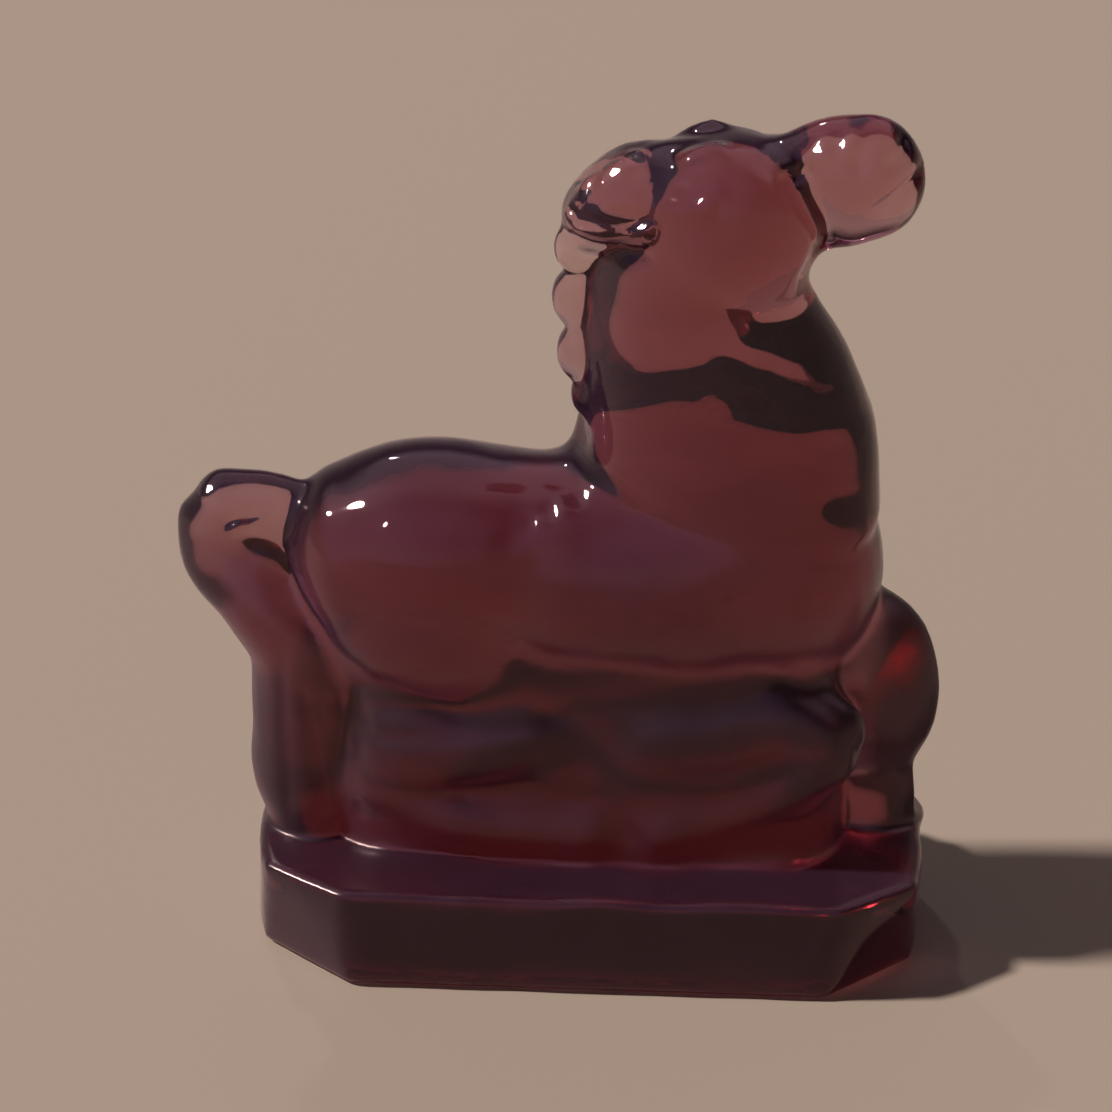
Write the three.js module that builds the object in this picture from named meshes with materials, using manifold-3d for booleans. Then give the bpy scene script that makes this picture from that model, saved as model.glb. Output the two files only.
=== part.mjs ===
// A pressed-glass horse with a tossed head and an arched tail, on a plinth with cut corners.
// The casting is one piece of glass; it is divided here along its sculpted creases.
// Millimetres, +Z up, the horse faces +X, the origin is the middle of the plinth's resting face.
import * as THREE from "three";
import { mergeVertices } from "three/addons/utils/BufferGeometryUtils.js";
import Module from "manifold-3d";

const wasm = await Module();
wasm.setup();

// Plinth
const plinthLength = 76.4;
const plinthWidth = 38.5;
const plinthHeight = 12;
const topCutLength = 9.8;
const topCutWidth = 6.4;
const footCutLength = 11.2;
const footCutWidth = 9.2;
const endBow = 1.2;
const plinthEdge = 0.7;

// Seam left between neighbouring masses of the casting
const seam = 0.3;

// Trunk, with heights measured from the top of the plinth
const horseForward = 0.6;
const trunkWidth = 25.2;
const bellyHeight = 18.5;
const backHeight = 46;
const chestFront = 31;
const chestHeight = 34.8;
const chestDepth = 29;
const rumpBack = 35.4;
const rumpHeight = 46;
const rumpDepth = 24;
const rumpWidth = 24.6;
const shoulderWidth = 24.4;
const shoulderHeight = 59;

// Neck and head
const neckWidth = 21.4;
const neckDepth = 30.2;
const neckLean = 13.5;
const neckRise = 37;
const cheekRadius = 9.6;
const headWidth = 18;
const headLength = 30.8;
const headTilt = 9;
const muzzleDepth = 15;
const muzzleWidth = 9.6;
const earLength = 5.6;
const earSpread = 7.4;
const forelockLength = 15.2;
const forelockDepth = 9.4;
const forelockWidth = 8.4;

// Scalloped mane
const maneLobes = 4;
const maneLobeRadius = 3.8;
const maneInset = 1.1;
const maneThickness = 4.8;

// Legs
const legSpread = 16;
const hindLegWidth = 8.6;
const forelegWidth = 8.4;
const hindCannonDepth = 7;
const foreCannonDepth = 7.2;
const hoofFlare = 0.5;
const webThickness = 20;
const kneeWidth = 14;
const kneeFront = 38.9;

// Bank of glass on the low off side: where it starts, how far it comes out at the foot, and the
// share by which it is hollowed at its top
const bankTop = 22;
const bankReach = 6.2;
const bankHollow = 0.45;

// Tail
const tailReach = 12.6;
const tailRise = 5.8;
const tailDepth = 9.2;
const tailFallDepth = 13;
const tailWidth = 6.2;
const brushWidth = 14.4;

// A length drawn for a back 46 high, made to follow the height that the back is given.
const drawn = (length) => (length * backHeight) / 46;

const ramp = (value, span) => THREE.MathUtils.clamp(value / span, 0, 1);

// Under the belly the off side is hollowed, then banks out to the plinth's edge.
function bankOut(point) {
  const [x, y, z] = point;
  const ends = ramp(x + drawn(42), drawn(6)) * ramp(plinthLength / 2 - x, drawn(6));
  const rise = ramp(bankTop - z, bankTop) * bankReach;
  const hollow = ramp(z, bankTop) * ramp(bankTop + drawn(5) - z, drawn(5)) * bankHollow;
  point[1] = y + ends * ramp(y, drawn(5)) * (rise - y * hollow);
}

// A closed skin over a stack of rings, each with as many points, and a pole at either end.
function stack(rings, firstPole, lastPole) {
  const n = rings[0].length;
  const points = [firstPole, ...rings.flat(), lastPole];
  const last = points.length - 1;
  const faces = [];
  for (let i = 0; i < n; i++) {
    const next = (i + 1) % n;
    faces.push(0, 1 + next, 1 + i);
    for (let r = 0; r < rings.length - 1; r++) {
      const here = 1 + r * n;
      const there = here + n;
      faces.push(here + i, there + next, there + i, here + i, here + next, there + next);
    }
    faces.push(last, last - n + i, last - n + next);
  }
  return new THREE.BufferGeometry().setFromPoints(points).setIndex(faces);
}

// How far a ring reaches sideways: a fullness over 1 gives it flat sides, and under 1 makes it a lens.
const spread = (turn, fullness) => Math.sign(Math.sin(turn)) * Math.abs(Math.sin(turn)) ** (1 / fullness);

// A rounded limb: rings along a smooth spine, closed by a dome at each end.
// A station holds its place, its half depth in the side view and its half width across the horse.
const station = (x, y, z, depth, width) => ({ place: new THREE.Vector3(x, y, z), depth, width });

class Limb {
  constructor(stations, domes, around = 24, stepsPerSpan = 4, fullness = [1, 1]) {
    this.spine = new THREE.CatmullRomCurve3(stations.map((s) => s.place));
    this.girth = new THREE.CatmullRomCurve3(stations.map((s) => new THREE.Vector3(s.depth, s.width, 0)));
    this.domes = domes;
    this.around = around;
    this.fullness = fullness;
    this.steps = stepsPerSpan * (stations.length - 1);
  }

  // The ring at a share of the spine, moved on past its end by reach and shrunk by scale.
  ring(share, grow = 0, reach = 0, scale = 1) {
    const along = this.spine.getTangent(share);
    const side = new THREE.Vector3(0, 1, 0).addScaledVector(along, -along.y).normalize();
    const up = new THREE.Vector3().crossVectors(along, side);
    const girth = this.girth.getPoint(share);
    return {
      centre: this.spine.getPoint(share).addScaledVector(along, reach),
      up: up.multiplyScalar((girth.x + grow) * scale),
      side: side.multiplyScalar((girth.y + grow) * scale),
      fullness: THREE.MathUtils.lerp(...this.fullness, share),
    };
  }

  // A point on the skin: turn 0 is the ring's upper side, a quarter turn its +Y side.
  skin(share, turn, grow = 0) {
    const { centre, up, side } = this.ring(share, grow);
    return centre.addScaledVector(up, Math.cos(turn)).addScaledVector(side, Math.sin(turn));
  }

  rings(grow) {
    const [startDome, endDome] = this.domes.map((length) => length + grow);
    const domeSteps = Math.round(this.around / 5);
    const rings = [];
    for (let i = 1; i < domeSteps; i++) {
      const angle = (i / domeSteps) * (Math.PI / 2);
      rings.push(this.ring(0, grow, -startDome * Math.cos(angle), Math.sin(angle)));
    }
    for (let i = 0; i <= this.steps; i++) rings.push(this.ring(i / this.steps, grow));
    for (let i = domeSteps - 1; i > 0; i--) {
      const angle = (i / domeSteps) * (Math.PI / 2);
      rings.push(this.ring(1, grow, endDome * Math.cos(angle), Math.sin(angle)));
    }
    return rings;
  }

  solid(grow = 0) {
    const rings = this.rings(grow).map(({ centre, up, side, fullness }) =>
      Array.from({ length: this.around }, (_, i) => {
        const turn = (i / this.around) * 2 * Math.PI;
        return centre
          .clone()
          .addScaledVector(up, Math.cos(turn))
          .addScaledVector(side, spread(turn, fullness));
      }),
    );
    const first = this.ring(0, grow, -this.domes[0] - grow).centre;
    const last = this.ring(1, grow, this.domes[1] + grow).centre;
    return solidOf(stack(rings.reverse(), last, first)).warp(bankOut);
  }
}

// A closed geometry as a solid that can be joined and cut.
function solidOf(geometry) {
  geometry.deleteAttribute("normal");
  geometry.deleteAttribute("uv");
  const merged = mergeVertices(geometry, 1e-4);
  return new wasm.Manifold(
    new wasm.Mesh({
      numProp: 3,
      vertProperties: merged.attributes.position.array,
      triVerts: new Uint32Array(merged.index.array),
    }),
  );
}

// An egg: a sphere stretched to three radii and tilted in the side view. With a fullness over 1 it
// is a thick disc.
function egg(centre, radii, tilt = 0, around = 24, fullness = 1) {
  const geometry = new THREE.SphereGeometry(1, around, Math.round(around / 2));
  const { position } = geometry.attributes;
  for (let i = 0; i < position.count; i++) {
    const y = position.getY(i);
    position.setY(i, Math.sign(y) * Math.abs(y) ** (1 / fullness));
  }
  geometry.scale(radii.x, radii.y, radii.z);
  geometry.rotateY(-tilt);
  geometry.translate(centre.x, centre.y, centre.z);
  return solidOf(geometry).warp(bankOut);
}

const join = (...solids) => solids.reduce((whole, piece) => whole.add(piece));

// A mass less its grown neighbours. A cut can part a sliver from it, so the largest body is kept.
function trim(solid, ...neighbours) {
  const bodies = neighbours.reduce((rest, other) => rest.subtract(other), solid).decompose();
  return bodies.reduce((a, b) => (a.volume() > b.volume() ? a : b));
}

// The plinth's outline at a share of its height: long sides, cut corners and short ends that
// bow outwards. The corners are cut deeper at the foot than at the top.
function plinthOutline(share, inset) {
  const x = plinthLength / 2 - inset;
  const y = plinthWidth / 2 - inset;
  const cutX = x - THREE.MathUtils.lerp(footCutLength, topCutLength, share);
  const cutY = y - THREE.MathUtils.lerp(footCutWidth, topCutWidth, share);
  const shape = new THREE.Shape();
  shape.moveTo(-cutX, -y);
  shape.lineTo(cutX, -y);
  shape.lineTo(x - endBow, -cutY);
  shape.quadraticCurveTo(x + endBow, 0, x - endBow, cutY);
  shape.lineTo(cutX, y);
  shape.lineTo(-cutX, y);
  shape.lineTo(endBow - x, cutY);
  shape.quadraticCurveTo(-x - endBow, 0, endBow - x, -cutY);
  return shape.getPoints(8);
}

// The plinth is a stack of outlines with its upper and lower edges eased.
function plinth() {
  const levels = [0, plinthEdge, plinthHeight - plinthEdge, plinthHeight];
  const insets = [plinthEdge, 0, 0, plinthEdge];
  const rings = levels.map((z, i) =>
    plinthOutline(z / plinthHeight, insets[i]).map((p) => new THREE.Vector3(p.x, p.y, z)),
  );
  return solidOf(stack(rings, new THREE.Vector3(), new THREE.Vector3(0, 0, plinthHeight)));
}

// The trunk narrows behind the withers and swells into a deep chest.
const trunkAxis = (backHeight + bellyHeight) / 2;
const trunkRadius = (backHeight - bellyHeight) / 2;
const trunkHalf = trunkWidth / 2;
const chestDome = drawn(11.5);
const barrel = new Limb(
  [
    station(drawn(-12), 0, trunkAxis + drawn(2), trunkRadius - drawn(2), trunkHalf - drawn(1.2)),
    station(drawn(1), 0, trunkAxis, trunkRadius, trunkHalf),
    station(drawn(11), 0, trunkAxis + drawn(1.6), trunkRadius + drawn(1), trunkHalf),
    station(chestFront - chestDome, 0, chestHeight, chestDepth / 2, trunkHalf - drawn(0.4)),
  ],
  [drawn(6), chestDome],
  28,
  3,
);

// The shoulder of the lifted off foreleg stands up beside the neck, and a fillet leads from the
// back into the withers.
function trunk(grow = 0) {
  const half = shoulderWidth / 4;
  const shoulderRadius = drawn(15);
  const shoulder = egg(
    new THREE.Vector3(drawn(15), half, shoulderHeight - shoulderRadius),
    new THREE.Vector3(drawn(12), half + drawn(0.6), shoulderRadius).addScalar(grow),
    -0.2,
    28,
  );
  const blade = egg(
    new THREE.Vector3(drawn(5.6), half - drawn(0.8), shoulderHeight - drawn(12.6)),
    new THREE.Vector3(drawn(10), half + drawn(0.6), drawn(12)).addScalar(grow),
    0,
    28,
  );
  const fillet = egg(
    new THREE.Vector3(drawn(3), 0, backHeight - drawn(2)),
    new THREE.Vector3(drawn(7.5), trunkHalf - drawn(4.6), drawn(6.4)).addScalar(grow),
    0.7,
    28,
  );
  return join(barrel.solid(grow), shoulder, blade, fillet);
}

// The rump carries the line of the back on and rounds off over both hips.
const rumpRadius = rumpDepth / 2;
const rumpAxis = rumpHeight - rumpRadius;
const rumpHalf = rumpWidth / 2;
const hips = new Limb(
  [
    station(
      drawn(7.4) - rumpBack,
      0,
      rumpAxis - drawn(1.2),
      rumpRadius - drawn(1.1),
      rumpHalf - drawn(1.5),
    ),
    station(drawn(13.4) - rumpBack, 0, rumpAxis + drawn(0.2), rumpRadius, rumpHalf),
    station(drawn(22) - rumpBack, 0, rumpAxis, rumpRadius, rumpHalf - drawn(0.4)),
  ],
  [drawn(7.4), drawn(1.5)],
  28,
  3,
);
const rump = (grow = 0) => hips.solid(grow);

// The neck rises from the shoulders and leans back as it goes up.
const withers = new THREE.Vector3(drawn(17.6), 0, drawn(37.5));
const poll = new THREE.Vector3(withers.x - neckLean, 0, withers.z + neckRise);
const neckHalf = neckWidth / 2;
const neckRadius = neckDepth / 2;
const neckPoint = (share, depth, width) => {
  const place = withers.clone().lerp(poll, share);
  return station(place.x, 0, place.z, depth, width);
};
const neckFullness = [1.5, 0.75];
const neck = new Limb(
  [
    neckPoint(0, neckRadius - drawn(2.4), neckHalf + drawn(0.9)),
    neckPoint(0.28, neckRadius + drawn(0.3), neckHalf + drawn(0.1)),
    neckPoint(0.54, neckRadius - drawn(0.4), neckHalf - drawn(1.3)),
    neckPoint(0.78, neckRadius - drawn(2.9), neckHalf - drawn(2.5)),
    neckPoint(1, neckRadius - drawn(6.2), neckHalf - drawn(3.3)),
  ],
  [drawn(5), drawn(4)],
  28,
  3,
  neckFullness,
);

// The head: a round cheek, and a skull that runs out to a blunt muzzle held high.
const tilt = THREE.MathUtils.degToRad(headTilt);
const nose = new THREE.Vector3(Math.cos(tilt), 0, Math.sin(tilt));
const crown = new THREE.Vector3(-nose.z, 0, nose.x);
const skullBack = poll.clone().add(new THREE.Vector3(drawn(-1.6), 0, drawn(1.8)));
const muzzleDome = muzzleDepth * 0.42;
const headPoint = (reach, lift, depth, width) => {
  const place = skullBack.clone().addScaledVector(nose, reach).addScaledVector(crown, lift);
  return station(place.x, 0, place.z, depth, width);
};
const faceLength = headLength - muzzleDome;
const muzzleHalf = muzzleWidth / 2;
const skull = new Limb(
  [
    headPoint(0, 0, drawn(6.2), headWidth / 2 - drawn(5)),
    headPoint(faceLength * 0.18, 0, drawn(6.9), headWidth / 2 - drawn(3.6)),
    headPoint(faceLength * 0.42, drawn(-0.6), drawn(6.7), headWidth / 2 - drawn(2.6)),
    headPoint(faceLength * 0.68, drawn(-1.3), muzzleDepth / 2 - drawn(0.6), muzzleHalf + drawn(0.4)),
    headPoint(faceLength * 0.88, drawn(-0.3), muzzleDepth / 2, muzzleHalf),
    headPoint(faceLength, drawn(-0.1), muzzleDepth / 2 - drawn(0.2), muzzleHalf),
  ],
  [drawn(2), muzzleDome],
  24,
  2,
);
const cheekCentre = poll.clone().add(new THREE.Vector3(drawn(7.8), 0, 0));

function head(grow = 0) {
  const cheekRadii = new THREE.Vector3(cheekRadius, headWidth / 2, cheekRadius);
  return join(skull.solid(grow), egg(cheekCentre, cheekRadii.addScalar(grow), 0, 28, 1.15));
}

// An ear lies back against the skull on each side.
function ear(side) {
  const y = (side * earSpread) / 2;
  const root = poll.clone().add(new THREE.Vector3(drawn(4.1), 0, drawn(5)));
  return new Limb(
    [
      station(root.x, y * 0.9, root.z, drawn(3.9), drawn(2.4)),
      station(root.x + earLength * 0.3, y, root.z + earLength * 0.55, drawn(3), drawn(2)),
      station(root.x + earLength * 0.4, y, root.z + earLength * 0.78, drawn(1.6), drawn(1.3)),
    ],
    [drawn(2), drawn(0.8)],
    14,
    2,
  ).solid();
}

// The forelock is a flat tuft rolled over the poll.
const forelockCentre = poll.clone().add(new THREE.Vector3(drawn(-3.7), 0, drawn(2.5)));
const forelockTilt = 0.63;
const forelockRadii = new THREE.Vector3(forelockLength, forelockWidth, forelockDepth).divideScalar(2);
const forelock = (grow = 0) =>
  egg(forelockCentre, forelockRadii.clone().addScalar(grow), forelockTilt, 28, 1.6);

// The mane is a crest along the back of the neck, scalloped by a row of flat lobes.
function mane() {
  const shareOf = (i) => THREE.MathUtils.lerp(0.43, 0.92, i / (maneLobes - 1));
  const half = maneThickness / 2;
  const crestStations = [];
  const lobes = [];
  for (let i = 0; i < maneLobes; i++) {
    const root = neck.skin(shareOf(i), 0, drawn(-0.6));
    crestStations.push(station(root.x, 0, root.z, drawn(2), half - drawn(0.3)));
    const centre = neck.skin(shareOf(i), 0, -maneInset);
    const radius = maneLobeRadius * (i === 0 || i === maneLobes - 1 ? 0.8 : 1);
    lobes.push(egg(centre, new THREE.Vector3(radius, half, radius), 0, 20, 1.8));
  }
  const crest = new Limb(crestStations, [drawn(3), drawn(2)], 12, 2);
  return join(crest.solid(), ...lobes);
}

// The glass left between the legs, under the belly: a long block with steep sides.
const webHalf = webThickness / 2;
const web = new Limb(
  [
    station(drawn(-24), 0, 0, drawn(25), webHalf - drawn(1.2)),
    station(0, 0, 0, drawn(33), webHalf),
    station(drawn(20), 0, 0, drawn(30), webHalf - drawn(0.6)),
  ],
  [drawn(6), drawn(8)],
  32,
  4,
  [1.6, 1.6],
);

// A hind leg is folded: thigh, gaskin back to the hock, and cannon forward along the plinth.
const hockX = drawn(-24.5);
function hindLeg(side, grow = 0) {
  const y = (side * legSpread) / 2;
  const half = hindLegWidth / 2;
  const cannon = hindCannonDepth / 2;
  const thigh = egg(
    new THREE.Vector3(drawn(-18), side * (legSpread / 2 - drawn(1.4)), drawn(25.4)),
    new THREE.Vector3(drawn(12), half + drawn(1.6), drawn(8)).addScalar(grow),
    0.14,
    20,
  );
  const gaskin = new Limb(
    [
      station(drawn(-7.5), y, drawn(16), drawn(4.4), half),
      station(drawn(-15), y, drawn(13.6), drawn(4.8), half),
      station(hockX + drawn(1.5), y, drawn(12.4), drawn(6.5), half),
    ],
    [drawn(4), drawn(5)],
    18,
    3,
  );
  const shank = new Limb(
    [
      station(hockX, y, cannon + drawn(4.6), cannon + drawn(1), half),
      station(drawn(-16), y, cannon + drawn(0.8), cannon, half - drawn(0.4)),
      station(drawn(-6), y, cannon - drawn(0.2), cannon, half - drawn(0.4)),
      station(drawn(-1), y, cannon, cannon + hoofFlare, half + hoofFlare),
    ],
    [drawn(4), drawn(3)],
    18,
    3,
  );
  return join(thigh, gaskin.solid(grow), shank.solid(grow));
}

// The near foreleg is folded under the chest, with its hoof turned back along the plinth.
function nearForeleg() {
  const y = -legSpread / 2;
  const half = forelegWidth / 2;
  const cannon = foreCannonDepth / 2;
  const forearm = new Limb(
    [
      station(drawn(5), y, drawn(15), drawn(4.6), half),
      station(drawn(13), y, drawn(16), drawn(4.5), half),
      station(drawn(20.5), y, drawn(18), drawn(4.9), half + drawn(0.2)),
      station(drawn(25.4), y, drawn(16.4), drawn(4.8), half + drawn(0.2)),
    ],
    [drawn(4), drawn(4.6)],
    18,
    3,
  );
  const shank = new Limb(
    [
      station(drawn(25), y, drawn(13.4), cannon + drawn(0.6), half),
      station(drawn(20), y, drawn(9.2), cannon, half - drawn(0.4)),
      station(drawn(12.5), y, cannon + drawn(2.2), cannon, half - drawn(0.4)),
      station(drawn(7), y, cannon + drawn(0.4), cannon + hoofFlare, half + hoofFlare),
    ],
    [drawn(4), drawn(3)],
    18,
    3,
  );
  return join(forearm.solid(), shank.solid());
}

// The off foreleg is lifted. Its broad knee slants away behind, and the hoof hangs down in front
// of the bank.
function offForeleg() {
  const half = kneeWidth / 2;
  const shankDepth = drawn(5.2);
  const shankX = kneeFront - shankDepth;
  const knee = egg(
    new THREE.Vector3(kneeFront - drawn(9.8), half - drawn(4), drawn(18)),
    new THREE.Vector3(drawn(10.2), half, drawn(11.8)),
    0.21,
    28,
  );
  const shank = new Limb(
    [
      station(shankX + drawn(0.6), half - drawn(3), drawn(19), shankDepth, half - drawn(2)),
      station(shankX + drawn(0.4), half - drawn(3), drawn(12), shankDepth, half - drawn(2)),
      station(shankX, half - drawn(3), drawn(5), shankDepth, half - drawn(2)),
    ],
    [drawn(4), drawn(2.6)],
    20,
    3,
  );
  const slant = new THREE.Vector3(0.7, 0.72, 0).normalize();
  const slantReach = slant.dot(new THREE.Vector3(kneeFront + drawn(0.6), drawn(-1), 0));
  return join(knee, shank.solid()).trimByPlane(slant.negate().toArray(), -slantReach);
}

// The tail arches up and back, then falls to the plinth and broadens like brushed hair.
const dock = new THREE.Vector3(drawn(3.6) - rumpBack, 0, rumpHeight - drawn(9));
function tail() {
  const half = tailWidth / 2;
  const brushHalf = brushWidth / 2;
  const depth = tailDepth / 2;
  const fall = tailFallDepth / 2;
  const top = dock.z + tailRise - depth;
  const back = dock.x - tailReach;
  const arch = new Limb(
    [
      station(dock.x, 0, dock.z - drawn(1.2), depth - drawn(0.4), half + drawn(0.3)),
      station(dock.x - tailReach * 0.45, 0, top - drawn(0.5), depth, half),
      station(back + drawn(0.8), 0, top - drawn(0.3), depth, half),
    ],
    [drawn(3), depth * 0.7],
    18,
    3,
  );
  const brush = new Limb(
    [
      station(back + drawn(0.5), 0, top - drawn(1.2), depth, half),
      station(back + drawn(0.6), 0, top - drawn(5), depth, half + drawn(0.7)),
      station(back + drawn(5.2), 0, top - drawn(10.2), depth + drawn(0.6), brushHalf - drawn(1.2)),
      station(back + drawn(10.1), 0, top - drawn(16), fall - drawn(0.1), brushHalf - drawn(0.2)),
      station(back + drawn(10.8), 0, drawn(13), fall, brushHalf),
      station(back + drawn(11.1), 0, drawn(4), fall - drawn(0.2), brushHalf),
      station(back + drawn(12.4), 0, drawn(-1), fall - drawn(2), brushHalf - drawn(0.6)),
    ],
    [depth * 0.7, drawn(2)],
    20,
    3,
  );
  return join(arch.solid(), brush.solid());
}

// Each mass is cut by the masses that it meets, which are grown by the seam.
function castingMasses() {
  const groundBlock = new THREE.BoxGeometry(4 * plinthLength, 4 * plinthWidth, plinthLength);
  groundBlock.translate(0, 0, seam - plinthLength / 2);
  const ground = solidOf(groundBlock);
  const trunkCut = trunk(seam);
  const rumpCut = rump(seam);
  const neckCut = neck.solid(seam);
  const headCut = head(seam);
  const forelockCut = forelock(seam);
  const webCut = web.solid(seam);
  const legNeighbours = [trunkCut, rumpCut, webCut, ground];
  const hindCuts = [hindLeg(-1, seam), hindLeg(1, seam)];
  const masses = {
    rump: rump(),
    trunk: trim(trunk(), rumpCut),
    under_body: trim(web.solid(), trunkCut, rumpCut, ground),
    head: head(),
    neck: trim(neck.solid(), trunkCut, headCut),
    forelock: trim(forelock(), neckCut, headCut),
    mane: trim(mane(), trunkCut, neckCut, headCut, forelockCut),
    near_ear: trim(ear(-1), neckCut, headCut, forelockCut),
    off_ear: trim(ear(1), neckCut, headCut, forelockCut),
    near_hind_leg: trim(hindLeg(-1), ...legNeighbours),
    off_hind_leg: trim(hindLeg(1), ...legNeighbours),
    near_foreleg: trim(nearForeleg(), ...legNeighbours),
    off_foreleg: trim(offForeleg(), ...legNeighbours),
    tail: trim(tail(), rumpCut, webCut, ground, ...hindCuts),
  };
  return masses;
}

function glassMesh(name, solid) {
  const { numProp, vertProperties, triVerts } = solid.getMesh();
  const geometry = new THREE.BufferGeometry();
  geometry.setAttribute("position", new THREE.BufferAttribute(vertProperties, numProp));
  geometry.setIndex(new THREE.BufferAttribute(triVerts, 1));
  geometry.computeVertexNormals();
  const material = new THREE.MeshStandardMaterial({ color: 0x6a2d3a, roughness: 0.06, metalness: 0 });
  const mesh = new THREE.Mesh(geometry, material);
  mesh.name = name;
  return mesh;
}

const figurine = new THREE.Group();
figurine.add(glassMesh("plinth", plinth()));
const horse = new THREE.Group();
horse.position.set(horseForward, 0, plinthHeight);
for (const [name, solid] of Object.entries(castingMasses())) horse.add(glassMesh(name, solid));
figurine.add(horse);

export default figurine;
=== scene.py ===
"""A pressed-glass horse with a tossed head and an arched tail, one casting of plum glass."""

import math

import bmesh
import bpy
import numpy as np
from mathutils import Matrix, Quaternion, Vector, noise


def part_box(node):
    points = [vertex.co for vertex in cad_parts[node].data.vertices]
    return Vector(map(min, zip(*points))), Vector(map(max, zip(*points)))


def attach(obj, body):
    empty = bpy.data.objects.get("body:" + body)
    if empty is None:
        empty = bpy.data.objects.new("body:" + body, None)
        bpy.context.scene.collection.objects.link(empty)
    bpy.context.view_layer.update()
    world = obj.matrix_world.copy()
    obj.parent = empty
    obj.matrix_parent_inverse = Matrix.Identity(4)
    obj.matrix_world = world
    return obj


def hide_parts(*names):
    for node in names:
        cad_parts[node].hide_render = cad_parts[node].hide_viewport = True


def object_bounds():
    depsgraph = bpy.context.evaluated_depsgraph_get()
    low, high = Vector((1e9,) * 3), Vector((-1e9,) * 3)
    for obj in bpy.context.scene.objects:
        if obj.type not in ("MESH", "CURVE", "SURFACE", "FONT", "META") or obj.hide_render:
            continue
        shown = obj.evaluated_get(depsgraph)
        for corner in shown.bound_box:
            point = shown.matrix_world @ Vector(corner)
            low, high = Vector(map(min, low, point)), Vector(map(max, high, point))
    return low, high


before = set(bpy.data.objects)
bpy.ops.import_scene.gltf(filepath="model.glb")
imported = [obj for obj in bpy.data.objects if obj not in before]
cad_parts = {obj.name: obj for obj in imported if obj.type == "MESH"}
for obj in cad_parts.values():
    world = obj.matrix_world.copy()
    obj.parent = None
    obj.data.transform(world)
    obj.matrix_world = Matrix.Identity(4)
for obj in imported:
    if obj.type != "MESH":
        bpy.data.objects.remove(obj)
cad_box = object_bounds()

# Lengths are in millimetres until the casting is finished, and heights on the horse start at the
# top of the plinth, as in the CAD source.
MM = 0.001
PLINTH_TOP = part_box("plinth")[1].z / MM
HORSE_PLACE = Vector((0.6, 0, PLINTH_TOP))
NEAR, OFF = -1, 1
BOTH = (NEAR, OFF)

# How fine the masses are, and the skin that they are fused into
EGG_SEGMENTS, EGG_RINGS = 56, 36
LIMB_SEGMENTS = 44
RING_GAP = 1.1
DOME_BENDS = [math.radians(angle) for angle in (15, 30, 45, 60, 75)]
MERGED_WITHIN = 0.01
VOXEL = 0.55

# How softly the bank, the cuts, the furrows and the ripples end, and how far a point goes in one
# round of smoothing
BANK_FADE = 6
BANK_LIP = 5
CUT_FADE = 2
SIDE_FADE = 0.5
FOOT_FADE = 1
SMOOTH_STEP = 0.5

# The photograph's frame
PHOTO_PIXELS = 1112
PIXELS_PER_MM = 8.92
SENSOR = 36

# Where the camera stands, in metres, and the way to the lamp. The glints also need them.
AIM = Vector((-0.0051, 0, 0.0454))
DISTANCE = 0.5
ELEVATION = math.radians(26)
ROLL = math.radians(1.9)
BACK = Vector((0, -math.cos(ELEVATION), math.sin(ELEVATION)))
EYE = AIM + BACK * DISTANCE
LAMP_WAY = Vector((-0.71, -0.08, 0.68)).normalized()

# Tints of the glass: clear, and darker for random streaks and painted shade. Then the place of the
# painted shade in the belly, in metres
CLEAR_TINT = (1, 0.93, 0.92)
STREAK_AND_SHADE_TINT = (0.5, 0.34, 0.42)
BELLY_SHADE_MIDDLE = (0.0046, 0, 0.043)
BELLY_SHADE_RADIUS = 0.016

# The floor, in metres. It lies just below the plinth's foot, so that they never share a plane.
FLOOR_SIZE = 6
FLOOR_DROP = 0.0001


def ramp(value, span):
    """0 below 0, 1 above the span and a straight rise between."""
    return np.clip(value / span, 0, 1)


def flow(stations):
    """Rows on one smooth curve through the stations, about one for each ring gap along it."""
    rows = np.array(stations, float)
    reach = np.linalg.norm(np.diff(rows[:, :3], axis=0), axis=1)
    at = np.concatenate([[0], np.cumsum(reach)])
    slope = np.gradient(rows, at, axis=0)
    steps = np.linspace(0, at[-1], max(3, round(at[-1] / RING_GAP)))
    i = np.clip(np.searchsorted(at, steps, side="right") - 1, 0, len(at) - 2)
    span = (at[i + 1] - at[i])[:, None]
    u = (steps - at[i])[:, None] / span
    return (
        (1 + 2 * u) * (1 - u) ** 2 * rows[i]
        + u * (1 - u) ** 2 * span * slope[i]
        + u * u * (3 - 2 * u) * rows[i + 1]
        - u * u * (1 - u) * span * slope[i + 1]
    )


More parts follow.
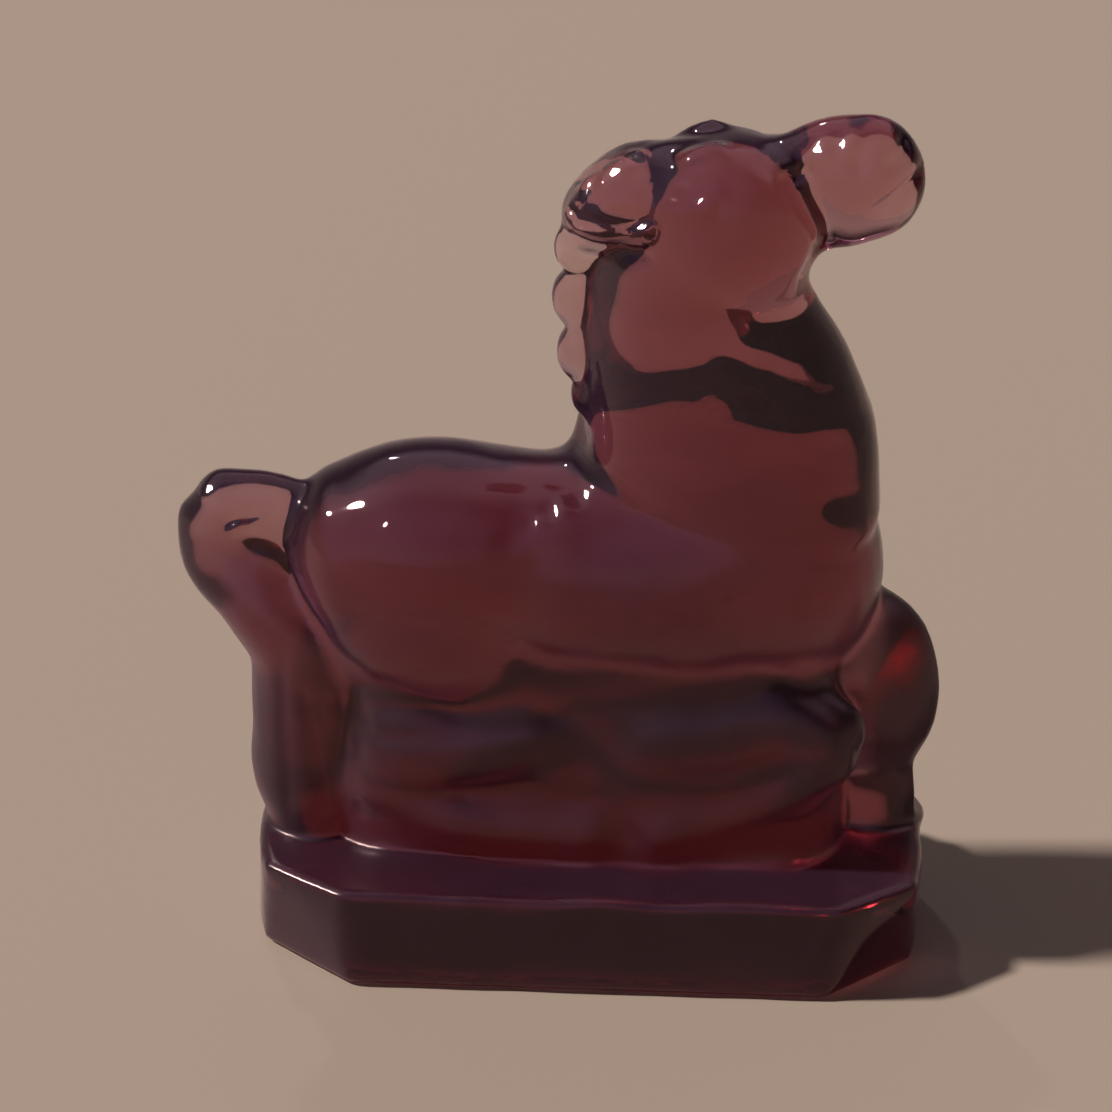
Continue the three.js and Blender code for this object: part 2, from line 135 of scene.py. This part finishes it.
class Mould:
    """Rounded masses of glass that overlap in one mesh, ready to be fused."""

    def __init__(self):
        self.bm = bmesh.new()
        self.mass = bpy.data.meshes.new("mass")

    def pour(self, ball):
        """Adds one finished mass to the others."""
        ball.to_mesh(self.mass)
        ball.free()
        self.bm.from_mesh(self.mass)

    def egg(self, centre, radii, tilt=0.0, fullness=1.0):
        """A sphere stretched to three radii and tilted nose up in the side view. Above a fullness
        of 1 its two sides are flatter, like a pressed disc."""
        place = (
            Matrix.Translation(HORSE_PLACE + Vector(centre))
            @ Matrix.Rotation(-math.radians(tilt), 4, "Y")
            @ Matrix.Diagonal((*radii, 1))
        )
        ball = bmesh.new()
        bmesh.ops.create_uvsphere(ball, u_segments=EGG_SEGMENTS, v_segments=EGG_RINGS, radius=1)
        for v in ball.verts:
            v.co.y = math.copysign(abs(v.co.y) ** (1 / fullness), v.co.y)
        bmesh.ops.transform(ball, matrix=place, verts=ball.verts)
        self.pour(ball)

    def limb(self, stations, domes, fullness=1.0):
        """A rounded limb, made from a sphere whose rings move to rows along the stations.
        A station is x, y, z, half depth in the side view and half width, and the domes are the
        lengths of its two rounded ends. Above a fullness of 1 its section is squarer, and below
        1 it is a lens with its edges up and down. Two figures are for the first and last row."""
        rows = flow(stations)
        fill = np.linspace(*np.broadcast_to(fullness, 2), len(rows))
        along = np.gradient(rows[:, :3], axis=0)
        along /= np.linalg.norm(along, axis=1)[:, None]
        side = np.array([0, 1, 0]) - along * along[:, 1:2]
        side /= np.linalg.norm(side, axis=1)[:, None]
        up = np.cross(along, side)
        levels = [(0, -domes[0], 0)]
        levels += [(0, -domes[0] * math.cos(a), math.sin(a)) for a in DOME_BENDS]
        levels += [(i, 0, 1) for i in range(len(rows))]
        levels += [(-1, domes[1] * math.cos(a), math.sin(a)) for a in reversed(DOME_BENDS)]
        levels += [(-1, domes[1], 0)]
        last = len(levels) - 1
        ball = bmesh.new()
        bmesh.ops.create_uvsphere(ball, u_segments=LIMB_SEGMENTS, v_segments=last, radius=1)
        for v in ball.verts:
            row, reach, scale = levels[round(math.acos(max(-1, min(1, v.co.z))) / math.pi * last)]
            turn = math.atan2(v.co.y, v.co.x)
            rise, spread = math.cos(turn), math.sin(turn)
            spread = math.copysign(abs(spread) ** (1 / fill[row]), spread)
            v.co = HORSE_PLACE + Vector(
                rows[row, :3]
                + along[row] * reach
                + up[row] * rows[row, 3] * scale * rise
                + side[row] * rows[row, 4] * scale * spread
            )
        self.pour(ball)

    def bank(self, start, end, top, reach, hollow):
        """Below its top the off side is hollowed, then banks out towards the plinth's edge."""
        for v in self.bm.verts:
            x, y, z = v.co - HORSE_PLACE
            ends = ramp(x - start, BANK_FADE) * ramp(end - x, BANK_FADE)
            dent = ramp(z, top) * ramp(top + BANK_LIP - z, BANK_LIP) * hollow
            v.co.y = y + ends * ramp(y, BANK_LIP) * (ramp(top - z, top) * reach - y * dent)

    def plinth(self):
        """The CAD plinth's own faces, merged."""
        first = len(self.bm.verts)
        self.bm.from_mesh(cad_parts["plinth"].data)
        self.bm.verts.ensure_lookup_table()
        added = self.bm.verts[first:]
        bmesh.ops.scale(self.bm, vec=(1 / MM,) * 3, verts=added)
        bmesh.ops.remove_doubles(self.bm, verts=added, dist=MERGED_WITHIN)

    def fused(self, name):
        """All masses as one closed skin."""
        for v in self.bm.verts:
            v.co.z = max(v.co.z, 0)
        mesh = bpy.data.meshes.new(name)
        self.bm.to_mesh(mesh)
        self.bm.free()
        rough = bpy.data.objects.new(name, mesh)
        bpy.context.scene.collection.objects.link(rough)
        skin = rough.modifiers.new("fuse", "REMESH")
        skin.mode = "VOXEL"
        skin.voxel_size = VOXEL
        skin.use_smooth_shade = True
        graph = bpy.context.evaluated_depsgraph_get()
        fused = bpy.data.meshes.new_from_object(rough.evaluated_get(graph))
        bpy.data.objects.remove(rough)
        return fused


def trunk(mould):
    """Trunk and rump, and the block of glass under the belly."""
    mould.limb(
        [
            (-28, 0, 33, 10.9, 10.8),
            (-22, 0, 34.3, 12.1, 12.2),
            (-10, 0, 33.6, 12, 12),
            (-2, 0, 32.6, 13, 12.2),
            (6, 0, 32.6, 13.8, 12.8),
            (13, 0, 33.6, 14.4, 12.8),
            (19.5, 0, 34.6, 14.3, 12.2),
        ],
        (7.4, 11.5),
    )
    block = [(-22, 0, 0, 30, 9.4), (0, 0, 0, 40, 11), (20, 0, 0, 36, 10.8)]
    mould.limb(block, (9, 8), fullness=3)


def neck(mould):
    """Neck, with a fillet at the withers and the raised shoulder of the off foreleg."""
    mould.limb(
        [
            (18.2, 0, 37.5, 13, 11.6),
            (14.4, 0, 46.5, 15.6, 10.8),
            (11.1, 0, 56.5, 14.6, 9.4),
            (8, 0, 66.4, 12, 8),
            (6.4, 0, 74.5, 8.6, 7.2),
        ],
        (5, 4),
        fullness=(1.5, 0.75),
    )
    mould.egg((3, 0, 44), (7.5, 8, 6.4), 40)
    mould.egg((5.6, 5.2, 46.4), (10, 6.8, 12))
    mould.egg((15, 6, 44), (12, 7, 15.5), -12)


def head(mould):
    """Skull and muzzle, cheeks, ears and the rolled forelock."""
    mould.limb(
        [
            (2.5, 0, 76.4, 6.2, 4),
            (7, 0, 76.8, 6.9, 5.4),
            (13, 0, 77, 6.6, 6.4),
            (18.8, 0, 77.6, 6.9, 5.4),
            (23.6, 0, 79.3, 7.5, 5),
            (26.6, 0, 80, 7.2, 4.9),
        ],
        (2, 6.2),
    )
    mould.egg((12, 0, 74), (10, 9.2, 10.3), fullness=1.4)
    for side in BOTH:
        mould.limb(
            [
                (7.8, side * 3.3, 79.5, 3.9, 2.4),
                (9.8, side * 3.7, 82.6, 3, 2),
                (10.4, side * 3.7, 83.9, 1.6, 1.3),
            ],
            (2, 0.8),
        )
    mould.egg((0.5, 0, 76.9), (7.7, 6.2, 4.7), 36, fullness=1.5)


def mane(mould):
    """Four lobes down the crest."""
    for x, z, radius in [(-2.2, 53.4, 2.8), (-2.7, 58.6, 3.7), (-3.2, 65.1, 4), (-4.3, 70.9, 2.9)]:
        mould.egg((x, 0, z), (radius, 2.4, radius), fullness=2.2)


def hind_legs(mould):
    """Two folded hind legs, each with its thigh, its shank and its hoof along the plinth."""
    for side in BOTH:
        mould.egg((-18.8, side * 5.4, 27.8), (13, 6.8, 10.8), 8)
        mould.limb(
            [
                (-7.5, side * 8.8, 15.5, 4.4, 2.9),
                (-15, side * 8.8, 13.4, 4.8, 3),
                (-23, side * 7.5, 12.4, 6.4, 3.7),
            ],
            (4, 5),
        )
        mould.limb(
            [
                (-24.5, side * 7.4, 8.1, 4.5, 3.6),
                (-16, side * 8.8, 4.3, 3.5, 3),
                (-6, side * 8.8, 3.3, 3.5, 3),
                (-1, side * 8.4, 3.5, 4, 4),
            ],
            (4, 3),
        )


def near_foreleg(mould):
    """The near foreleg, folded under the chest."""
    mould.limb(
        [
            (5, -9, 15, 4.6, 2.9),
            (13, -9, 16, 4.5, 3),
            (20.5, -8, 18, 4.9, 4.2),
            (25.4, -8, 16.4, 4.8, 4.2),
        ],
        (4, 4.6),
    )
    mould.limb(
        [
            (25, -8, 13.4, 4.2, 4),
            (20, -8.6, 9.2, 3.6, 3.1),
            (12.5, -8.8, 5.8, 3.6, 2.9),
            (7, -8.4, 4, 4.1, 4),
        ],
        (4, 3),
    )


def off_foreleg(mould):
    """The off foreleg, lifted, with its hoof down on the plinth."""
    mould.egg((29.4, 3, 18), (10.2, 7, 11.8), 12)
    mould.limb([(34.2, 4, 19, 5.2, 5), (33.8, 4, 13.5, 5.2, 5), (32.4, 4, 10, 5, 5)], (4, 4.4))
    mould.limb([(31.6, 5, -1, 6.6, 6), (31.6, 5, 4, 6.4, 5.6), (31.6, 5, 8, 5.8, 5)], (2, 3))


def tail(mould):
    """The arched tail and the brush that it hangs down into."""
    mould.egg((-38.4, 0, 32.8), (3.8, 4, 3.4))
    mould.limb(
        [
            (-31.8, 0, 35.8, 4.2, 3.4),
            (-37.3, 0, 37.8, 4.6, 3.4),
            (-43.2, 0, 38, 4.8, 3.8),
        ],
        (3, 3.4),
    )
    mould.limb(
        [
            (-43.5, 0, 37, 4.8, 3.8),
            (-43.4, 0, 33.2, 4.7, 4.6),
            (-38.8, 0, 28, 5.2, 7.4),
            (-33.9, 0, 22.2, 6.4, 8.2),
            (-33.2, 0, 13, 6.5, 8),
            (-32.9, 0, 4, 6.3, 7.8),
            (-31.6, 0, -1, 4.5, 7),
        ],
        (3.2, 2),
    )


class Skin:
    """The fused skin's points and normals, for sculpting."""

    def __init__(self, mesh):
        self.mesh = mesh
        self.points = np.empty(len(mesh.vertices) * 3, np.float32)
        mesh.vertices.foreach_get("co", self.points)
        self.points = self.points.reshape(-1, 3).astype(float)

    def store(self):
        """Writes the points back to the mesh."""
        self.mesh.vertices.foreach_set("co", self.points.astype(np.float32).ravel())
        self.mesh.update()

    def normals(self):
        """The way each point faces now."""
        self.store()
        found = np.empty(len(self.mesh.vertices) * 3, np.float32)
        self.mesh.vertex_normals.foreach_get("vector", found)
        return found.reshape(-1, 3)

    def horse(self):
        """The points in the horse's own frame."""
        return self.points - np.array(HORSE_PLACE)

    def near(self, centre, radius):
        """1 up to half the radius from the centre, falling to 0 at the radius."""
        away = np.linalg.norm(self.horse() - np.array(centre), axis=1)
        return np.clip(2 - 2 * away / radius, 0, 1)

    def shave(self, point, facing, x_from, x_to, z_from, z_to):
        """Glass beyond a plane is pressed back onto it, within a box in the side view."""
        facing = np.array(facing) / np.linalg.norm(facing)
        horse = self.horse()
        over = np.maximum((horse - np.array(point)) @ facing, 0)
        x, _, z = horse.T
        part = ramp(np.minimum(x - x_from, x_to - x), CUT_FADE)
        part *= ramp(np.minimum(z - z_from, z_to - z), CUT_FADE)
        self.points -= (over * part)[:, None] * facing

    def groove(self, side, line, depth, spread):
        """A soft furrow along a line in the side view, or a ridge where the depth is below 0."""
        normals = self.normals()
        flat = self.horse()[:, ::2]
        away = np.full(len(flat), np.inf)
        rows = np.array(line, float)
        for start, end in zip(rows[:-1], rows[1:]):
            step = end - start
            u = np.clip((flat - start) @ step / (step @ step), 0, 1)
            away = np.minimum(away, np.linalg.norm(flat - start - u[:, None] * step, axis=1))
        press = depth * np.exp(-((away / spread) ** 2)) * ramp(side * normals[:, 1], SIDE_FADE)
        self.points -= normals * press[:, None]

    def glint(self, x, z, radius):
        """A small flat that mirrors the lamp, where the camera sees x and z of the middle plane."""
        eye = np.array(EYE / MM - HORSE_PLACE)
        horse = self.horse()
        sight = eye - horse
        seen_at = horse - sight * (horse[:, 1:2] / sight[:, 1:2])
        hidden = np.sum(self.normals() * sight, axis=1) < 0
        away = np.where(hidden, np.inf, np.hypot(seen_at[:, 0] - x, seen_at[:, 2] - z))
        seat = horse[np.argmin(away)]
        to_eye = Vector(eye - seat).normalized()
        facing = np.array((LAMP_WAY + to_eye).normalized())
        over = (horse - seat) @ facing
        self.points -= (over * self.near(seat, radius))[:, None] * facing

    def ripple(self, length, height, part=1):
        """The slight waves that pressing and fire polishing leave in glass."""
        waves = np.array([noise.noise(Vector(p) / length) for p in self.points])
        waves *= ramp(self.points[:, 2], FOOT_FADE) * part
        self.points += self.normals() * (height * waves)[:, None]

    def smooth(self, rounds, part):
        """Each point moves towards the mean of its neighbours, by its part of a full step."""
        weight = SMOOTH_STEP * np.reshape(part, (-1, 1))
        edges = np.empty(len(self.mesh.edges) * 2, np.int32)
        self.mesh.edges.foreach_get("vertices", edges)
        a, b = edges.reshape(-1, 2).T
        count = np.bincount(edges, minlength=len(self.points))[:, None]
        for _ in range(rounds):
            total = np.stack(
                [
                    np.bincount(a, self.points[b, k], len(self.points))
                    + np.bincount(b, self.points[a, k], len(self.points))
                    for k in range(3)
                ],
                axis=1,
            )
            self.points += weight * (total / count - self.points)


def soften(skin):
    """Rounder joins, and on the off side the slopes and furrows that show through the glass as
    dark bands."""
    # A slanting knee and a chamfer beside the mane
    skin.shave((39.5, -1, 0), (0.7, 0.72, 0), 27, 60, -0.4, 40)
    skin.shave((-4.7, 1.9, 68), (-0.68, 0.72, -0.12), -4.6, 6, 54, 74)

    x, y, z = skin.horse().T
    above_plinth = ramp(z - 0.4, 1.2)
    off_flank = ramp(y - 2, 3) * ramp(z - 12, 6) * ramp(50 - z, 6)
    off_neck = ramp(y - 2, 3) * ramp(z - 38, 4)
    lobes = ramp(-1.5 - x, 1.5) * ramp(z - 49, 2) * ramp(76 - z, 2)
    near_legs = ramp(-y - 2, 3) * ramp(30 - z, 6) * above_plinth
    plinth_corners = ramp(-0.8 - z, 1.5) * ramp(z + 11.2, 1.5)

    skin.smooth(60, off_flank)
    skin.smooth(10, above_plinth * (1 - 0.8 * lobes))
    skin.smooth(20, near_legs)

    # Furrows across the neck, under the forelock and on the chest, and the slope of the shoulder
    across_neck = [(-4, 52.6), (1, 52.4), (4, 53.6), (7.5, 55.8), (12, 56.6), (15, 55)]
    skin.groove(OFF, across_neck, 1.8, 3.2)
    skin.groove(OFF, [(-6, 70.8), (-1, 70.4), (3, 70.2)], 1.8, 2)
    skin.shave((18, 12.9, 44.9), (0.16, 0.86, 0.48), 12, 40, 38, 66)
    skin.smooth(6, off_neck)
    skin.groove(OFF, [(10.5, 58.4), (13.6, 56.2), (17, 53.6), (20, 50)], 0.8, 1.3)
    skin.groove(OFF, [(23.4, 37.4), (26, 35.6)], 1, 1.4)

    for rounds, centre, radius in [
        (12, (-3, 3, 52), 5),  # lowest lobe
        (12, (-4, 3, 71), 4),  # highest lobe
        (30, (-1, 0, 46), 10),  # withers
        (20, (20.5, 0, 66.5), 8),  # throat
        (40, (3.6, -7, 77.5), 6.5),  # temples
        (40, (3.6, 7, 77.5), 6.5),
    ]:
        skin.smooth(rounds, skin.near(centre, radius))
    skin.smooth(2, 0.5 * (1 - above_plinth))
    skin.smooth(40, plinth_corners)

    # Hocks
    for side in BOTH:
        skin.smooth(40, above_plinth * skin.near((-27, side * 8, 9), 12))


# Furrows and ridges: sides, depth, which is below 0 for a ridge, spread and line in the side view
CREASES = {
    "behind_muzzle": (
        BOTH,
        1.1,
        1.5,
        [(19, 82), (20.4, 78.9), (22.2, 76.2), (22.6, 73.6), (21, 70)],
    ),
    "near_mouth": ((NEAR,), 1, 0.8, [(33, 81.8), (30.7, 80.4), (27.6, 77.8)]),
    "near_nostril": ((NEAR,), 0.6, 0.7, [(29.9, 85.1), (30.1, 83.7), (28.8, 82.7)]),
    "off_mouth": ((OFF,), 0.4, 1, [(33, 80), (29, 77)]),
    "crest_of_roll": ((NEAR,), -0.5, 0.8, [(2.4, 83.2), (-0.7, 81.3), (-3.6, 79.3), (-5.4, 76.2)]),
    "lip_of_roll": ((NEAR,), -0.5, 0.7, [(-4.6, 75), (-1, 74.6), (2.2, 75.4)]),
    "withers": ((NEAR,), -0.4, 1.6, [(-9, 39.4), (-1, 43)]),
    "ear_edge": ((NEAR,), -0.4, 1, [(6, 79.6), (10, 80.4)]),
    "bridge_of_nose": (BOTH, 0.3, 0.8, [(24.8, 83.9), (25.3, 82.7)]),
    "ear_foot": ((NEAR,), -0.5, 1, [(4.6, 77.4), (8.6, 78.3)]),
    "brow": (BOTH, -0.5, 1.1, [(16.6, 82.4), (18.2, 82)]),
    "eye": (BOTH, 0.45, 0.6, [(15.2, 82.9), (17.2, 81.3), (19.4, 81.4)]),
    "flank": ((NEAR,), 0.6, 2.4, [(-9.2, 40), (-8.5, 37.2), (-8.5, 31.1), (-9.8, 26.1)]),
    "thigh": (
        BOTH,
        0.5,
        1.6,
        [(-35, 31), (-33, 28), (-30, 24.7), (-26, 21.6), (-21.9, 20.6), (-16, 18)],
    ),
    "belly": (
        BOTH,
        0.2,
        1.8,
        [(-6, 19.5), (0, 20.4), (5.2, 21.4), (10.7, 23.1), (15.3, 25.6), (20, 24)],
    ),
    "breast": ((NEAR,), 0.5, 1.3, [(20, 24), (24, 21.6), (27.4, 19), (29.7, 14)]),
    "top_of_shank": (BOTH, 0.3, 1.3, [(-4.6, 18.5), (-15.7, 15.9), (-25.2, 15), (-29, 17)]),
    "fold_of_shank": (BOTH, 0.3, 1.3, [(-26, 9.4), (-19, 8.1), (-7.5, 9.4), (0, 8.4), (4, 4)]),
    "front_strand": (BOTH, 0.25, 0.9, [(-33.3, 19), (-31.8, 12.9), (-30.6, 4)]),
    "back_strand": (BOTH, 0.25, 0.9, [(-36, 24), (-35.6, 14), (-35, 3)]),
    "under_roll": (BOTH, 0.9, 0.9, [(-5.8, 73.4), (-2.4, 72.4), (2.4, 72.6)]),
    "behind_ear": (BOTH, 0.3, 0.7, [(0, 80.6), (2.4, 80.4), (3, 78.6)]),
}

# Small flats that catch the lamp: x and z of the middle plane where they are seen, and radius
GLINTS = {
    "forelock": [
        (1.6, 81.5, 1.5),
        (-0.6, 79.8, 1.9),
        (-3.3, 78.2, 1.6),
        (-5.4, 74.6, 1.6),
        (-4.1, 72.9, 1.5),
        (2.3, 73.3, 2.1),
    ],
    "cheek": [(5.8, 76.4, 1.35), (8.5, 76.7, 1.65)],
    "muzzle": [(21.1, 83.2, 2), (23.7, 83.6, 1.9), (18.9, 79.1, 1.4)],
    "withers": [(-8.2, 37.6, 1.5), (-6.1, 39.1, 1.9), (-2.8, 41, 1.6)],
    "rump": [(-24.9, 36.4, 1.4)],
    "tail": [(-44.8, 40.2, 1.5), (-41.8, 35.9, 1.7), (-39.4, 36.7, 1.4)],
}


def engrave(skin):
    """The creases, and the ripples that run over them and along the plinth's uneven edge."""
    for sides, depth, spread, line in CREASES.values():
        for side in sides:
            skin.groove(side, line, depth, spread)
    skin.smooth(2, 0.6)
    skin.ripple(7, 0.16)
    skin.ripple(3, 0.05)
    skin.ripple(1.6, 0.11, skin.near((-2, 0, 77), 10))
    z = skin.horse()[:, 2]
    skin.ripple(8, 0.5, ramp(z + 4, 3) * ramp(2.5 - z, 2))


mould = Mould()
for piece in (trunk, neck, head, mane, hind_legs, near_foreleg, off_foreleg, tail):
    piece(mould)
mould.bank(start=-42, end=38.2, top=22, reach=6.2, hollow=0.32)
mould.plinth()
casting = mould.fused("glass_casting")

skin = Skin(casting)
soften(skin)
engrave(skin)
for flats in GLINTS.values():
    for x, z, radius in flats:
        skin.glint(x, z, radius)
low_corner, high_corner = np.array([list(corner) for corner in cad_box]) / MM
skin.points = np.clip(skin.points, low_corner, high_corner)
skin.store()

figurine = bpy.data.objects.new("glass_horse", casting)
bpy.context.scene.collection.objects.link(figurine)
casting.transform(Matrix.Scale(MM, 4))


class Field:
    """A value that varies over a material, worked out from others by plain arithmetic."""

    def __init__(self, tree, socket=None):
        self.tree = tree
        self.socket = socket

    def fill(self, node, inputs):
        """Gives a node's sockets their values, or links them to other fields."""
        for name, value in inputs.items():
            if isinstance(value, Field):
                self.tree.links.new(value.socket, node.inputs[name])
            else:
                node.inputs[name].default_value = value

    def node(self, kind, inputs, settings=None, output=0):
        """The output of any kind of node, with its settings and inputs."""
        made = self.tree.nodes.new(kind)
        for name, value in (settings or {}).items():
            setattr(made, name, value)
        self.fill(made, inputs)
        return Field(self.tree, made.outputs[output])

    def maths(self, operation, *values):
        """A Math node's result."""
        return self.node("ShaderNodeMath", dict(enumerate(values)), {"operation": operation})

    def __add__(self, other):
        return self.maths("ADD", self, other)

    def __sub__(self, other):
        return self.maths("SUBTRACT", self, other)

    def __rsub__(self, other):
        return self.maths("SUBTRACT", other, self)

    def __mul__(self, other):
        return self.maths("MULTIPLY", self, other)

    def __truediv__(self, other):
        return self.maths("DIVIDE", self, other)

    __radd__ = __add__
    __rmul__ = __mul__

    def clamp(self):
        """This value, kept between 0 and 1."""
        return self.node("ShaderNodeClamp", {"Value": self})

    def rise(self, start, end):
        """0 up to the start, 1 from the end on and a straight rise between."""
        return ((self - start) / (end - start)).clamp()

    def axis(self, name):
        """The X, Y or Z of a place or direction."""
        return self.node("ShaderNodeSeparateXYZ", {"Vector": self}, output=name)

    def measure(self, operation, other):
        """One number from this place or direction and another, such as their distance."""
        settings = {"operation": operation}
        return self.node("ShaderNodeVectorMath", {0: self, 1: other}, settings, "Value")

    def scaled(self, scale):
        """A place with its three axes stretched."""
        return self.node("ShaderNodeMapping", {"Vector": self, "Scale": scale})

    def cloud(self, size, detail=2):
        """Soft noise of about 0 to 1, with patches of a size in metres."""
        inputs = {"Vector": self, "Scale": 1 / size, "Detail": detail}
        return self.node("ShaderNodeTexNoise", inputs)

    def blend(self, first, second):
        """One colour where this is 0, the other where it is 1."""
        inputs = {0: self, "A": (*first, 1), "B": (*second, 1)}
        return self.node("ShaderNodeMix", inputs, {"data_type": "RGBA"}, "Result")

    def tinted(self, amount, colour):
        """This colour with an amount of another added to it."""
        inputs = {0: amount, "A": self, "B": (*colour, 1)}
        settings = {"data_type": "RGBA", "blend_type": "ADD"}
        return self.node("ShaderNodeMix", inputs, settings, "Result")


def plum_glass():
    """Clear plum glass that absorbs light with depth, and is duller and darkened by painted shade
    low down.
    """
    material = bpy.data.materials.new("plum_glass")
    material.use_nodes = True
    nodes = material.node_tree.nodes
    place = Field(material.node_tree).node("ShaderNodeTexCoord", {}, output="Object")
    height = place.axis("Z") / MM - PLINTH_TOP
    along = place.axis("X") / MM

    # Low down, below a line that rises towards the chest, the colour is darkened as painted shade
    # and the glass is rougher
    low_zone_top = 39 + 8 * along.rise(8, 28)
    low = ((low_zone_top - height) / 17).clamp() * height.rise(-2, 0)
    # Painted shade round the middle of the belly, measured in the side view
    from_belly = place.scaled((1, 0, 1)).measure("DISTANCE", BELLY_SHADE_MIDDLE)
    belly = (1 - from_belly / BELLY_SHADE_RADIUS).clamp()
    brush = along.rise(-33, -37) * height.rise(35, 29)
    streaks = place.scaled((1, 1, 2)).cloud(0.02, 3)
    below_head = height.rise(67, 61)
    # The colour goes towards the darker tint with random streaks below the head, painted shade low
    # down and in the belly, and in the tail's brush
    streaks_and_shade = (
        0.5 * streaks.rise(0.4, 0.65) * below_head
        + 0.6 * low
        + 0.4 * belly
        + 0.35 * brush
    )
    smudges = place.cloud(0.006, 4)
    bump = {"Height": place.cloud(0.0011), "Strength": 0.15, "Distance": 0.00004}
    place.fill(
        nodes["Principled BSDF"],
        {
            "Base Color": streaks_and_shade.blend(CLEAR_TINT, STREAK_AND_SHADE_TINT),
            "Roughness": 0.015 + 0.28 * low + 0.04 * smudges,
            "IOR": 1.52,
            "Transmission Weight": 1,
            "Coat Weight": 0.14 * smudges,
            "Coat Roughness": 0.5,
            "Specular Tint": (1, 0.7, 0.72, 1),
            "Sheen Weight": 0.055,
            "Sheen Roughness": 0.8,
            "Sheen Tint": (1, 0.45, 0.95, 1),
            "Normal": place.node("ShaderNodeBump", bump),
        },
    )
    absorption = {"Color": (0.72, 0.41, 0.45, 1), "Density": 230}
    plum = place.node("ShaderNodeVolumeAbsorption", absorption)
    place.fill(nodes["Material Output"], {"Volume": plum})
    return material


def pale_floor():
    """The plain worktop's paint."""
    material = bpy.data.materials.new("pale_floor")
    material.use_nodes = True
    paint = material.node_tree.nodes["Principled BSDF"].inputs
    paint["Base Color"].default_value = (0.43, 0.345, 0.29, 1)
    paint["Roughness"].default_value = 0.6
    return material


casting.materials.append(plum_glass())
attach(figurine, "root")
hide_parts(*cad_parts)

bpy.ops.mesh.primitive_plane_add(size=FLOOR_SIZE, location=(0, 0, -FLOOR_DROP))
floor = bpy.context.object
floor.name = "floor"
floor.data.materials.append(pale_floor())


def sun(name, towards, strength, angle, colour):
    """A lamp so far off that its light is parallel, softened by its angle."""
    data = bpy.data.lights.new(name, "SUN")
    data.energy = strength
    data.angle = math.radians(angle)
    data.color = colour
    held = bpy.data.objects.new(name, data)
    held.rotation_mode = "QUATERNION"
    held.rotation_quaternion = (-Vector(towards)).to_track_quat("-Z", "Y")
    bpy.context.scene.collection.objects.link(held)


def studio():
    """A pale room under a dark ceiling. The glass also mirrors a wall and a window, painted
    reflections that light nothing.
    """
    world = bpy.data.worlds.new("studio")
    world.use_nodes = True
    way = Field(world.node_tree).node("ShaderNodeTexCoord", {}, output="Generated")
    climb = way.axis("Z")
    behind = way.axis("Y")
    window = way.measure("DOT_PRODUCT", (-0.4, -0.65, 0.645)).rise(0.6, 1)
    wall = ((behind + 0.3) * 3).clamp() * climb.rise(0.56, 0.71)
    # The wall and the window are painted reflections: they show only to glossy rays
    mirrored = way.node("ShaderNodeLightPath", {}, output="Is Glossy Ray")
    room = climb.rise(0.15, 0.5).blend((0.34, 0.29, 0.25), (0.02, 0.016, 0.016))
    room = room.tinted(wall * mirrored, (0.66, 0.53, 0.66))
    room = room.tinted(window * mirrored, (0.5, 0.4, 0.68))
    way.fill(world.node_tree.nodes["Background"], {"Color": room})
    return world


sun("left_lamp", LAMP_WAY, 3.7, 5, (1, 0.92, 0.84))
sun("back_lamp", (-0.25, 0.68, 0.68), 0.14, 2.5, (1, 0.95, 0.9))
bpy.context.scene.world = studio()

camera_data = bpy.data.cameras.new("camera")
camera_data.sensor_width = SENSOR
camera_data.lens = SENSOR / 2 / (PHOTO_PIXELS / 2 / PIXELS_PER_MM * MM / DISTANCE)
camera_data.clip_start = 0.01
camera_data.clip_end = 20
camera = bpy.data.objects.new("camera", camera_data)
camera.location = EYE
camera.rotation_mode = "QUATERNION"
camera.rotation_quaternion = (-BACK).to_track_quat("-Z", "Y") @ Quaternion((0, 0, 1), ROLL)
bpy.context.scene.collection.objects.link(camera)
bpy.context.scene.camera = camera
bpy.context.scene.view_settings.view_transform = "Standard"
